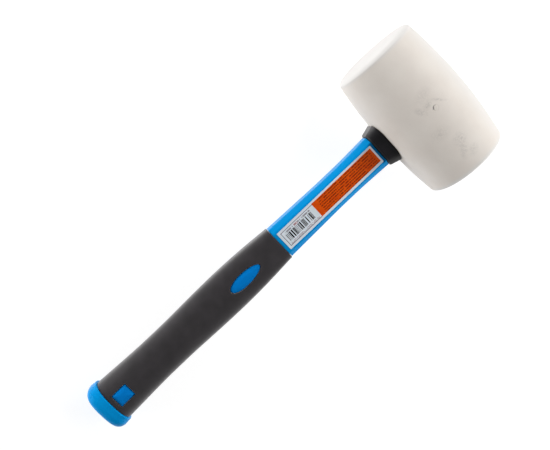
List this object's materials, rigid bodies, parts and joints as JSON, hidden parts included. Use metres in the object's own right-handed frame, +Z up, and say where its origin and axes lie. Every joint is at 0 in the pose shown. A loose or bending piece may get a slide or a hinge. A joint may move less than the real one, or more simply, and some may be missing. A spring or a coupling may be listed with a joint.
{
  "type": "rubber mallet",
  "caption": "Rubber mallet with a barrel-shaped head, a flared collar, a fibreglass-cored handle with a hard jacket, a soft grip and a flared butt cap.",
  "frame": {"origin": "centre of the bounding box in X and Y, at the height of the ground that the mallet lies on", "axes": "+X along the handle towards the head, +Y along the head's striking axis, +Z up out of the labelled side. The handle is pitched 3.7 degrees down from X, because the mallet rests on the head's belly and the butt cap's rim"},
  "size_m": [0.3207, 0.097, 0.065],
  "materials": {
    "head_rubber": "matt white moulded rubber, faintly mottled and lightly soiled",
    "collar_plastic": "black moulded plastic, satin gloss",
    "adhesive": "amber cured epoxy",
    "fibreglass": "pale pultruded glass fibre with a lengthwise grain",
    "jacket_plastic": "bright blue moulded polypropylene, glossy",
    "grip_elastomer": "charcoal soft-touch moulding, matt with a fine spark texture",
    "label": "printed white paper label, satin varnish"
  },
  "bodies": {
    "root": {"head": "head_rubber", "head_collar": "collar_plastic", "eye_plug": "collar_plastic", "eye_adhesive": "adhesive", "fibreglass_core": "fibreglass", "handle_jacket": "jacket_plastic", "grip_sleeve": "grip_elastomer", "butt_cap": "jacket_plastic", "handle_label": "label"}
  },
  "joints": []
}
